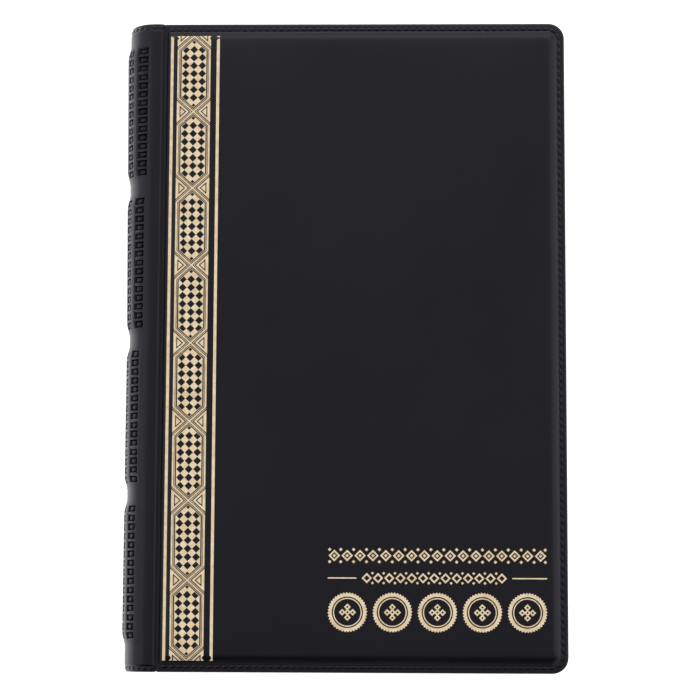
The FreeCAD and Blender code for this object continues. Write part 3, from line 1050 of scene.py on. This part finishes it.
def lower_frieze():
    """Shorter row of lozenges, with a rule on each side."""
    shapes = []
    for left, right in (
        (TITLE_LEFT, LOWER_LEFT - RULE_GAP),
        (LOWER_RIGHT + RULE_GAP, TITLE_RIGHT),
    ):
        shapes.append((rectangle_shape(left, right, RULE_LOW, RULE_HIGH), FILLED))
    pitch = (LOWER_RIGHT - LOWER_LEFT) / LOWER_LOZENGES
    for index in range(LOWER_LOZENGES):
        x = LOWER_LEFT + pitch * (index + 0.5)
        shapes += nested(x, LOWER_Y, LOWER_SIZES)
        for rise in (LOWER_BEAD_RISE, -LOWER_BEAD_RISE) if index else ():
            shapes.append((diamond(x - pitch / 2, LOWER_Y + rise, LOWER_BEAD), FILLED))
    return shapes


def coin_shapes(x, y):
    """Blank coin: a milled rim, a thin ring and a rosette of five lozenges."""
    shapes = [(milled_disc(x, y, COIN_RADIUS), FILLED)]
    for inset, colour in COIN_RINGS:
        shapes.append((circle_shape(x, y, COIN_RADIUS - inset, CIRCLE_POINTS), colour))
    for column, row in ROSETTE:
        place = (x + ROSETTE_PITCH * column, y + ROSETTE_PITCH * row)
        shapes += nested(*place, ROSETTE_SIZES)
    return shapes


def title_shapes():
    """Plain ornament in the lower corner: two friezes over a row of coins."""
    shapes = upper_frieze() + lower_frieze()
    first, last = TITLE_LEFT + COIN_RADIUS, TITLE_RIGHT - COIN_RADIUS
    for x in np.linspace(first, last, COINS):
        shapes += coin_shapes(float(x), COIN_Y)
    return shapes


def joined(parts):
    """One mesh from several, each a pair of points and faces."""
    points, faces = [], []
    start = 0
    for block, block_faces in parts:
        points.append(block)
        faces += [[start + corner for corner in face] for face in block_faces]
        start += len(block)
    return np.concatenate(points), faces


def build_ornament():
    """All the gold on the front cover, lying on the padded panel."""
    low, high = FOIL_LOW[1] - BAND_DROP, FOIL_HIGH[1] - BAND_DROP
    motif_points, motif_faces = painted_triangles(motif_shapes(), FOIL_SPACING)
    parts = []
    for index in range(MOTIFS):
        parts.append((motif_points + (BAND_CENTRE, low + index * MOTIF), motif_faces))
    parts.append(painted_triangles(title_shapes(), FOIL_SPACING))
    for offset in LINE_OFFSETS:
        left = FOIL_LOW[0] + offset
        line = rectangle_shape(left, left + LINE_WIDTH, low, high)
        parts.append(painted_triangles([(line, FILLED)], FOIL_SPACING))
    flat, faces = joined(parts)
    height = panel_height(flat[:, 0], flat[:, 1], "front") + FOIL_LIFT
    spatial = np.column_stack([flat, height])
    obj = new_object("front_gold_ornament", place_on_cover(spatial, "front"), faces)
    thicken(obj, FOIL_FILM)
    paint(obj, GOLD)
    stand_for(obj, "front_cover_gold_foil", "front_cover")


# --- pages ---

PAGE_FILM = 0.18
PAGE_LOW, PAGE_HIGH = box_mm("page_1_backing_film")
POCKET_LOW, POCKET_HIGH = box_mm("page_1_pocket_film")
PAGE_HINGE_X = joint_mm("page_1_hinge")[0]
PAGE_EDGE_X = -50.3
POCKET_COLUMNS, POCKET_ROWS = 3, 4
POCKET_PITCH = (34.66, 43.4)
POCKET_WIDTH = 33.96
POCKET_RIGHT = 56.1
STRIP_HEIGHT = 42.4
BOTTOM_WELD = 1.2
NOTCH = 8.0
PAGE_CORNER = 3.0
PAGE_SPACING = 6.0
POCKET_GRID = (32, 38)
PILLOW = 1.45
PILLOW_FULLNESS = 0.6
GROUP_LENGTH = TABS_HIGH[1] - GROUP_CENTRES[0]
TAB_GRID = (12, 9)
TAB_SPREAD = 0.35
TAB_GAP = 0.12
TAB_REACH = (3.5, 3.0)


def page_sheet():
    """Backing film in the page's own plane: tabs on the left, rounded corners on the right."""
    edge = [(PAGE_EDGE_X, PAGE_LOW[1])]
    for centre_y, first in ((PAGE_LOW[1] + PAGE_CORNER, -90), (PAGE_HIGH[1] - PAGE_CORNER, 0)):
        centre = (PAGE_HIGH[0] - PAGE_CORNER, centre_y)
        edge += [tuple(point) for point in arc(centre, PAGE_CORNER, first, 8)]
    edge.append((PAGE_EDGE_X, PAGE_HIGH[1]))
    for centre in GROUP_CENTRES:
        top, bottom = centre + GROUP_LENGTH, centre - GROUP_LENGTH
        edge += [(PAGE_EDGE_X, top), (PAGE_HINGE_X, top)]
        edge += [(PAGE_HINGE_X, bottom), (PAGE_EDGE_X, bottom)]
    return painted_triangles([(edge, FILLED)], PAGE_SPACING)


def pocket_mesh():
    """One pocket: film held at its bottom and sides, with a thumb notch in its upper edge."""
    columns, rows = POCKET_GRID
    depth = STRIP_HEIGHT - BOTTOM_WELD
    u, v = np.meshgrid(np.linspace(0, 1, columns), np.linspace(0, 1, rows))
    x = u * POCKET_WIDTH
    reach = np.abs(x - POCKET_WIDTH / 2)
    dip = np.sqrt(np.maximum(NOTCH ** 2 - reach ** 2, 0))
    y = BOTTOM_WELD + v * (depth - dip * smooth((NOTCH + 0.6 - reach) / 0.8))
    points = np.stack([x, y, np.zeros_like(x)], 2).reshape(-1, 3)
    held = (u == 0) | (u == 1) | (v == 0)
    points[:, 2] = PILLOW * inflate(points, columns, rows, held.ravel()) ** PILLOW_FULLNESS
    return points, grid_faces(rows, columns)


def page_pockets():
    """Twelve pockets in four strips, with flat welds between and below them.

    Returns the points, the faces and, face by face, whether it is a weld.
    """
    pocket_points, pocket_faces = pocket_mesh()
    gap = POCKET_PITCH[0] - POCKET_WIDTH
    parts, welded = [], []
    for row in range(POCKET_ROWS):
        base_y = POCKET_LOW[1] + row * POCKET_PITCH[1]
        welds = [(POCKET_LOW[0], POCKET_HIGH[0], base_y, base_y + BOTTOM_WELD)]
        for column in range(POCKET_COLUMNS + 1):
            right = POCKET_RIGHT + gap - column * POCKET_PITCH[0]
            welds.append((right - gap, right, base_y + BOTTOM_WELD, base_y + STRIP_HEIGHT))
        for column in range(POCKET_COLUMNS):
            left = POCKET_RIGHT - POCKET_WIDTH - column * POCKET_PITCH[0]
            parts.append((pocket_points + (left, base_y, 0), pocket_faces))
            welded += [0] * len(pocket_faces)
        for box in welds:
            corners = [(x, y, 0) for x, y in rectangle_shape(*box)]
            parts.append((np.array(corners), [[0, 1, 2, 3]]))
            welded.append(1)
    return *joined(parts), welded


def build_pages():
    sheet, sheet_faces = page_sheet()
    pockets, pocket_faces, welded = page_pockets()
    for page in PAGES:
        base = box_mm(f"page_{page}_backing_film")[0][2]
        flat = np.column_stack([sheet, np.full(len(sheet), base + PAGE_FILM)])
        backing = new_object(f"page_{page}_sheet", flat, sheet_faces)
        thicken(backing, PAGE_FILM)
        raised = pockets + np.array([0, 0, base + 2 * PAGE_FILM])
        film = new_object(f"page_{page}_pockets", raised, pocket_faces)
        film.data.materials.append(CLEAR)
        film.data.materials.append(WELDED)
        film.data.polygons.foreach_set("material_index", welded)
        thicken(film, PAGE_FILM - 0.02)
        paint(backing, CLEAR)
        for obj, node in ((backing, "backing_film"), (film, "pocket_film")):
            obj.visible_shadow = False
            stand_for(obj, f"page_{page}_{node}", f"page_{page}")


def build_binding_tabs():
    """Each page's binding edge: four films that curve from its crease to a weld on the spine.

    Two pages share each ladder of welds, one on either side of its middle.
    """
    profile, normals, places = spine_profile(FINE_PROFILE)
    rows, columns = TAB_GRID
    steps = np.linspace(0, 1, columns)[:, None]
    for page in PAGES:
        base = box_mm(f"page_{page}_backing_film")[0][2] + PAGE_FILM / 2
        begin = np.array([PAGE_HINGE_X, base])
        handle = np.array([PAGE_HINGE_X - TAB_REACH[0], base])
        ladder = (page - 1) // 2
        spread = TAB_SPREAD if page % 2 == 0 else -TAB_SPREAD
        parts = []
        for centre, start in zip(GROUP_CENTRES, COLUMN_STARTS):
            place = start + COLUMN_PITCH * ladder + spread
            index = int(np.argmin(np.abs(places - place)))
            touch = profile[index] - normals[index] * (SKIN_FILM + LINING_FILM + TAB_GAP)
            inward = touch - normals[index] * TAB_REACH[1]
            curve = (1 - steps) ** 3 * begin + 3 * (1 - steps) ** 2 * steps * handle
            curve = curve + 3 * (1 - steps) * steps ** 2 * inward + steps ** 3 * touch
            heights = np.linspace(centre - GROUP_LENGTH, centre + GROUP_LENGTH, rows)
            block = np.array([(x, y, z) for y in heights for x, z in curve])
            parts.append((block, grid_faces(rows, columns)))
        obj = new_object(f"page_{page}_binding", *joined(parts))
        thicken(obj, PAGE_FILM, offset=0.0)
        paint(obj, CLEAR)
        flatten_with_spine(obj)
        stand_for(obj, f"page_{page}_binding_tabs", "spine")


# --- stage ---

FLOOR_HALF = 6000.0
FLOOR_HEIGHT = -0.2
FLOOR_LOOK = {
    "Base Color": grey(0.93),
    "Roughness": 0.85,
    "Emission Color": WHITE,
    "Emission Strength": 0.72,
}


def build_stage():
    """White floor, bright enough by itself to burn out around the album."""
    corners = rectangle_shape(-FLOOR_HALF, FLOOR_HALF, -FLOOR_HALF, FLOOR_HALF)
    floor = new_object("floor", [(x, y, FLOOR_HEIGHT) for x, y in corners], [(0, 1, 2, 3)])
    material, nodes, _ = new_material("white_floor")
    for key, value in FLOOR_LOOK.items():
        nodes["Principled BSDF"].inputs[key].default_value = value
    paint(floor, material)


def area_light(name, place, size, power):
    """Rectangular light, in metres and watts, that faces the origin."""
    data = bpy.data.lights.new(name, "AREA")
    data.shape = "RECTANGLE"
    data.size, data.size_y = size
    data.energy = power
    light = bpy.data.objects.new(name, data)
    light.location = place
    light.rotation_euler = (-Vector(place)).to_track_quat("-Z", "Y").to_euler()
    bpy.context.scene.collection.objects.link(light)
    return light


def build_world():
    """Studio: bright beyond the album's head, dark below its foot, glowing low at the sides."""
    world = bpy.data.worlds.new("studio")
    bpy.context.scene.world = world
    world.use_nodes = True
    nodes, links = world.node_tree.nodes, world.node_tree.links
    direction = nodes.new("ShaderNodeTexCoord")
    split = nodes.new("ShaderNodeSeparateXYZ")
    links.new(direction.outputs["Generated"], split.inputs[0])
    toward_head = calculate(nodes, links, "MULTIPLY_ADD", split.outputs["Y"], 0.5, 0.5)
    sky = ramp_of(nodes, links, toward_head, [
        (0.0, grey(0.0)), (0.34, grey(0.01)), (0.40, grey(0.18)), (0.45, grey(0.4)),
        (0.52, grey(0.38)), (0.60, grey(0.33)), (0.72, grey(0.42)), (0.9, grey(0.48)),
    ])
    low_sky = ramp_of(nodes, links, split.outputs["Z"], [
        (0.0, grey(0.6)), (0.4, grey(0.45)), (0.6, grey(0.0)),
    ])
    sideways = calculate(nodes, links, "ABSOLUTE", split.outputs["X"])
    at_sides = ramp_of(nodes, links, sideways, [(0.15, grey(0.1)), (0.45, WHITE)])
    glow = mix_colour(nodes, links, 1.0, low_sky, at_sides, "MULTIPLY")
    brightest = mix_colour(nodes, links, 1.0, sky, glow, "LIGHTEN")
    links.new(brightest, nodes["Background"].inputs["Color"])
    nodes["Background"].inputs["Strength"].default_value = 1.0


def build_lights():
    """Softboxes, and a fill light that the glossy vinyl doesn't mirror."""
    area_light("head_softbox", (0.05, 0.85, 0.75), (1.4, 0.8), 3)
    area_light("left_softbox", (-0.8, 0.1, 0.7), (0.7, 1.2), 1.5)
    area_light("right_softbox", (0.9, 0.15, 0.55), (0.7, 1.2), 1.6)
    overhead = area_light("overhead_fill", (0.1, -0.2, 1.3), (1.6, 1.6), 11)
    overhead.visible_glossy = False


CAMERA_PLACE = (17.4, -81.0, 650.0)
CAMERA_TURN = (7.133, 1.415, 0.255)
CAMERA_LENS = 115.7
CAMERA_SENSOR = 36.0


def build_camera():
    data = bpy.data.cameras.new("camera")
    data.lens = CAMERA_LENS
    data.sensor_width = CAMERA_SENSOR
    data.clip_start = 0.01
    camera = bpy.data.objects.new("camera", data)
    camera.location = np.array(CAMERA_PLACE) * MM
    camera.rotation_euler = np.radians(CAMERA_TURN)
    bpy.context.scene.collection.objects.link(camera)
    bpy.context.scene.camera = camera


for cover_side in ("front", "rear"):
    build_cover_skin(cover_side)
    build_cover_lining(cover_side)
    build_foam(cover_side)
    paint(frame["nodes"][f"{cover_side}_cover_board"], BOARD)
build_spine()
build_creases()
build_ornament()
build_pages()
build_binding_tabs()
build_stage()
build_world()
build_lights()
build_camera()
bpy.context.scene.view_settings.view_transform = "Standard"
